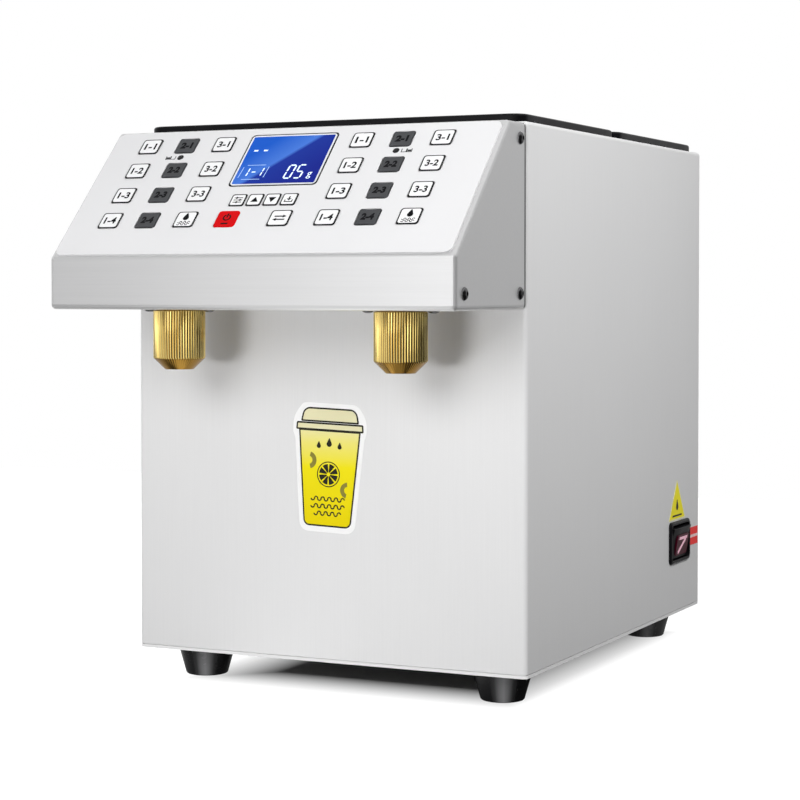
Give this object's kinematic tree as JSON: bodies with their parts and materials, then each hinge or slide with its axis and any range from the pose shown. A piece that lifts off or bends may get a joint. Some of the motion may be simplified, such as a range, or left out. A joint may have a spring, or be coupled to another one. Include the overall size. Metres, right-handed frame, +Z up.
{
  "type": "fructose dispenser",
  "caption": "Countertop syrup dispenser: stainless box with lidded tanks, a sloped key panel with display and knurled brass nozzles under its head.",
  "frame": {"origin": "on the counter, under the middle of the whole outline", "axes": "+X to the right seen from the front, +Y from the front to the back, +Z up"},
  "size_m": [0.2857, 0.463, 0.37],
  "materials": {
    "brushed_sheet": "fine upright brushing, half dull",
    "pale_plate": "pale, smooth",
    "foot_rubber": "dull black",
    "tank_steel": "drawn, half bright",
    "lid_black": "half gloss",
    "head_sheet": "fine brushing, half dull",
    "bracket_steel": "plain mill finish",
    "foil_white": "fine satin foil",
    "display_blue": "glossy pane over a blue display",
    "board_green": "printed board",
    "screw_steel": "dark bright plating",
    "nozzle_steel": "turned",
    "seal_rubber": "smooth",
    "cap_brass": "polished, knurled",
    "core_white": "smooth",
    "spring_steel": "drawn wire",
    "switch_black": "fine grained",
    "pump_grey": "cast and turned",
    "hose_clear": "milky hose",
    "supply_grey": "folded case",
    "key_white": "fine satin foil",
    "key_grey": "fine satin foil",
    "key_red": "fine satin foil"
  },
  "bodies": {
    "box": {"casing": "brushed_sheet", "back_cover": "brushed_sheet", "base_plate": "pale_plate", "feet": "foot_rubber", "front_tank": "tank_steel", "rear_tank": "tank_steel", "head_shell": "head_sheet", "head_bracket": "bracket_steel", "panel_foil": "foil_white", "display_glass": "display_blue", "control_board": "board_green", "screws": "screw_steel", "left_nozzle_body": "nozzle_steel", "right_nozzle_body": "nozzle_steel", "switch_frame": "switch_black", "pumps": "pump_grey", "hoses": "hose_clear", "power_supply": "supply_grey", "supply_inlet": "switch_black"},
    "front_lid": {"front_lid": "lid_black"},
    "rear_lid": {"rear_lid": "lid_black"},
    "left_seal": {"left_seal_ring": "seal_rubber"},
    "left_cap": {"left_nozzle_cap": "cap_brass", "left_valve_spring": "spring_steel"},
    "left_core": {"left_valve_core": "core_white"},
    "right_seal": {"right_seal_ring": "seal_rubber"},
    "right_cap": {"right_nozzle_cap": "cap_brass", "right_valve_spring": "spring_steel"},
    "right_core": {"right_valve_core": "core_white"},
    "rocker": {"switch_rocker": "switch_black"},
    "left_key_1_1": {"left_key_1_1": "key_white"},
    "left_key_2_1": {"left_key_2_1": "key_grey"},
    "left_key_3_1": {"left_key_3_1": "key_white"},
    "left_key_1_2": {"left_key_1_2": "key_white"},
    "left_key_2_2": {"left_key_2_2": "key_grey"},
    "left_key_3_2": {"left_key_3_2": "key_white"},
    "left_key_1_3": {"left_key_1_3": "key_white"},
    "left_key_2_3": {"left_key_2_3": "key_grey"},
    "left_key_3_3": {"left_key_3_3": "key_white"},
    "left_key_1_4": {"left_key_1_4": "key_white"},
    "left_key_2_4": {"left_key_2_4": "key_grey"},
    "left_key_flow": {"left_key_flow": "key_white"},
    "right_key_1_1": {"right_key_1_1": "key_white"},
    "right_key_2_1": {"right_key_2_1": "key_grey"},
    "right_key_3_1": {"right_key_3_1": "key_white"},
    "right_key_1_2": {"right_key_1_2": "key_white"},
    "right_key_2_2": {"right_key_2_2": "key_grey"},
    "right_key_3_2": {"right_key_3_2": "key_white"},
    "right_key_1_3": {"right_key_1_3": "key_white"},
    "right_key_2_3": {"right_key_2_3": "key_grey"},
    "right_key_3_3": {"right_key_3_3": "key_white"},
    "right_key_1_4": {"right_key_1_4": "key_white"},
    "right_key_2_4": {"right_key_2_4": "key_grey"},
    "right_key_flow": {"right_key_flow": "key_white"},
    "set_key": {"set_key": "key_white"},
    "up_key": {"up_key": "key_white"},
    "down_key": {"down_key": "key_white"},
    "store_key": {"store_key": "key_white"},
    "power_key": {"power_key": "key_red"},
    "change_key": {"change_key": "key_white"}
  },
  "joints": [
    {"name": "front_lid_lift", "type": "slide", "parent": "box", "child": "front_lid", "axis": [0, 0, 1], "range_m": [0, 0.15]},
    {"name": "rear_lid_lift", "type": "slide", "parent": "box", "child": "rear_lid", "axis": [0, 0, 1], "range_m": [0, 0.15]},
    {"name": "left_cap_turn", "type": "hinge", "parent": "left_seal", "child": "left_cap", "pos_m": [-0.078, -0.1765, 0.2107], "axis": [0, 0, -1], "range_deg": [0, 1080]},
    {"name": "left_core_press", "type": "slide", "parent": "left_cap", "child": "left_core", "axis": [0, 0, -1], "range_m": [0, 0.003], "stiffness_N_per_m": 150, "springref_m": -0.003, "deforming": ["left_valve_spring"]},
    {"name": "left_seal_drop", "type": "slide", "parent": "box", "child": "left_seal", "axis": [0, 0, -1], "range_m": [0, 0.0061]},
    {"name": "right_cap_turn", "type": "hinge", "parent": "right_seal", "child": "right_cap", "pos_m": [0.078, -0.1765, 0.2107], "axis": [0, 0, -1], "range_deg": [0, 1080]},
    {"name": "right_core_press", "type": "slide", "parent": "right_cap", "child": "right_core", "axis": [0, 0, -1], "range_m": [0, 0.003], "stiffness_N_per_m": 150, "springref_m": -0.003, "deforming": ["right_valve_spring"]},
    {"name": "right_seal_drop", "type": "slide", "parent": "box", "child": "right_seal", "axis": [0, 0, -1], "range_m": [0, 0.0061]},
    {"name": "rocker_tilt", "type": "hinge", "parent": "box", "child": "rocker", "pos_m": [0.1365, 0.1735, 0.074], "axis": [0, -1, 0], "range_deg": [0, 18]},
    {"name": "left_key_1_1_press", "type": "slide", "parent": "box", "child": "left_key_1_1", "axis": [0, 0.7179, -0.6961], "range_m": [0, 0.0004], "stiffness_N_per_m": 300, "springref_m": -0.001},
    {"name": "left_key_2_1_press", "type": "slide", "parent": "box", "child": "left_key_2_1", "axis": [0, 0.7179, -0.6961], "range_m": [0, 0.0004], "stiffness_N_per_m": 300, "springref_m": -0.001},
    {"name": "left_key_3_1_press", "type": "slide", "parent": "box", "child": "left_key_3_1", "axis": [0, 0.7179, -0.6961], "range_m": [0, 0.0004], "stiffness_N_per_m": 300, "springref_m": -0.001},
    {"name": "left_key_1_2_press", "type": "slide", "parent": "box", "child": "left_key_1_2", "axis": [0, 0.7179, -0.6961], "range_m": [0, 0.0004], "stiffness_N_per_m": 300, "springref_m": -0.001},
    {"name": "left_key_2_2_press", "type": "slide", "parent": "box", "child": "left_key_2_2", "axis": [0, 0.7179, -0.6961], "range_m": [0, 0.0004], "stiffness_N_per_m": 300, "springref_m": -0.001},
    {"name": "left_key_3_2_press", "type": "slide", "parent": "box", "child": "left_key_3_2", "axis": [0, 0.7179, -0.6961], "range_m": [0, 0.0004], "stiffness_N_per_m": 300, "springref_m": -0.001},
    {"name": "left_key_1_3_press", "type": "slide", "parent": "box", "child": "left_key_1_3", "axis": [0, 0.7179, -0.6961], "range_m": [0, 0.0004], "stiffness_N_per_m": 300, "springref_m": -0.001},
    {"name": "left_key_2_3_press", "type": "slide", "parent": "box", "child": "left_key_2_3", "axis": [0, 0.7179, -0.6961], "range_m": [0, 0.0004], "stiffness_N_per_m": 300, "springref_m": -0.001},
    {"name": "left_key_3_3_press", "type": "slide", "parent": "box", "child": "left_key_3_3", "axis": [0, 0.7179, -0.6961], "range_m": [0, 0.0004], "stiffness_N_per_m": 300, "springref_m": -0.001},
    {"name": "left_key_1_4_press", "type": "slide", "parent": "box", "child": "left_key_1_4", "axis": [0, 0.7179, -0.6961], "range_m": [0, 0.0004], "stiffness_N_per_m": 300, "springref_m": -0.001},
    {"name": "left_key_2_4_press", "type": "slide", "parent": "box", "child": "left_key_2_4", "axis": [0, 0.7179, -0.6961], "range_m": [0, 0.0004], "stiffness_N_per_m": 300, "springref_m": -0.001},
    {"name": "left_key_flow_press", "type": "slide", "parent": "box", "child": "left_key_flow", "axis": [0, 0.7179, -0.6961], "range_m": [0, 0.0004], "stiffness_N_per_m": 300, "springref_m": -0.001},
    {"name": "right_key_1_1_press", "type": "slide", "parent": "box", "child": "right_key_1_1", "axis": [0, 0.7179, -0.6961], "range_m": [0, 0.0004], "stiffness_N_per_m": 300, "springref_m": -0.001},
    {"name": "right_key_2_1_press", "type": "slide", "parent": "box", "child": "right_key_2_1", "axis": [0, 0.7179, -0.6961], "range_m": [0, 0.0004], "stiffness_N_per_m": 300, "springref_m": -0.001},
    {"name": "right_key_3_1_press", "type": "slide", "parent": "box", "child": "right_key_3_1", "axis": [0, 0.7179, -0.6961], "range_m": [0, 0.0004], "stiffness_N_per_m": 300, "springref_m": -0.001},
    {"name": "right_key_1_2_press", "type": "slide", "parent": "box", "child": "right_key_1_2", "axis": [0, 0.7179, -0.6961], "range_m": [0, 0.0004], "stiffness_N_per_m": 300, "springref_m": -0.001},
    {"name": "right_key_2_2_press", "type": "slide", "parent": "box", "child": "right_key_2_2", "axis": [0, 0.7179, -0.6961], "range_m": [0, 0.0004], "stiffness_N_per_m": 300, "springref_m": -0.001},
    {"name": "right_key_3_2_press", "type": "slide", "parent": "box", "child": "right_key_3_2", "axis": [0, 0.7179, -0.6961], "range_m": [0, 0.0004], "stiffness_N_per_m": 300, "springref_m": -0.001},
    {"name": "right_key_1_3_press", "type": "slide", "parent": "box", "child": "right_key_1_3", "axis": [0, 0.7179, -0.6961], "range_m": [0, 0.0004], "stiffness_N_per_m": 300, "springref_m": -0.001},
    {"name": "right_key_2_3_press", "type": "slide", "parent": "box", "child": "right_key_2_3", "axis": [0, 0.7179, -0.6961], "range_m": [0, 0.0004], "stiffness_N_per_m": 300, "springref_m": -0.001},
    {"name": "right_key_3_3_press", "type": "slide", "parent": "box", "child": "right_key_3_3", "axis": [0, 0.7179, -0.6961], "range_m": [0, 0.0004], "stiffness_N_per_m": 300, "springref_m": -0.001},
    {"name": "right_key_1_4_press", "type": "slide", "parent": "box", "child": "right_key_1_4", "axis": [0, 0.7179, -0.6961], "range_m": [0, 0.0004], "stiffness_N_per_m": 300, "springref_m": -0.001},
    {"name": "right_key_2_4_press", "type": "slide", "parent": "box", "child": "right_key_2_4", "axis": [0, 0.7179, -0.6961], "range_m": [0, 0.0004], "stiffness_N_per_m": 300, "springref_m": -0.001},
    {"name": "right_key_flow_press", "type": "slide", "parent": "box", "child": "right_key_flow", "axis": [0, 0.7179, -0.6961], "range_m": [0, 0.0004], "stiffness_N_per_m": 300, "springref_m": -0.001},
    {"name": "set_key_press", "type": "slide", "parent": "box", "child": "set_key", "axis": [0, 0.7179, -0.6961], "range_m": [0, 0.0004], "stiffness_N_per_m": 300, "springref_m": -0.001},
    {"name": "up_key_press", "type": "slide", "parent": "box", "child": "up_key", "axis": [0, 0.7179, -0.6961], "range_m": [0, 0.0004], "stiffness_N_per_m": 300, "springref_m": -0.001},
    {"name": "down_key_press", "type": "slide", "parent": "box", "child": "down_key", "axis": [0, 0.7179, -0.6961], "range_m": [0, 0.0004], "stiffness_N_per_m": 300, "springref_m": -0.001},
    {"name": "store_key_press", "type": "slide", "parent": "box", "child": "store_key", "axis": [0, 0.7179, -0.6961], "range_m": [0, 0.0004], "stiffness_N_per_m": 300, "springref_m": -0.001},
    {"name": "power_key_press", "type": "slide", "parent": "box", "child": "power_key", "axis": [0, 0.7179, -0.6961], "range_m": [0, 0.0004], "stiffness_N_per_m": 300, "springref_m": -0.001},
    {"name": "change_key_press", "type": "slide", "parent": "box", "child": "change_key", "axis": [0, 0.7179, -0.6961], "range_m": [0, 0.0004], "stiffness_N_per_m": 300, "springref_m": -0.001}
  ],
  "couplings": [
    {"joint": "left_seal_drop", "follows": "left_cap_turn", "m_per_rad": 0.00031831},
    {"joint": "right_seal_drop", "follows": "right_cap_turn", "m_per_rad": 0.00031831}
  ]
}
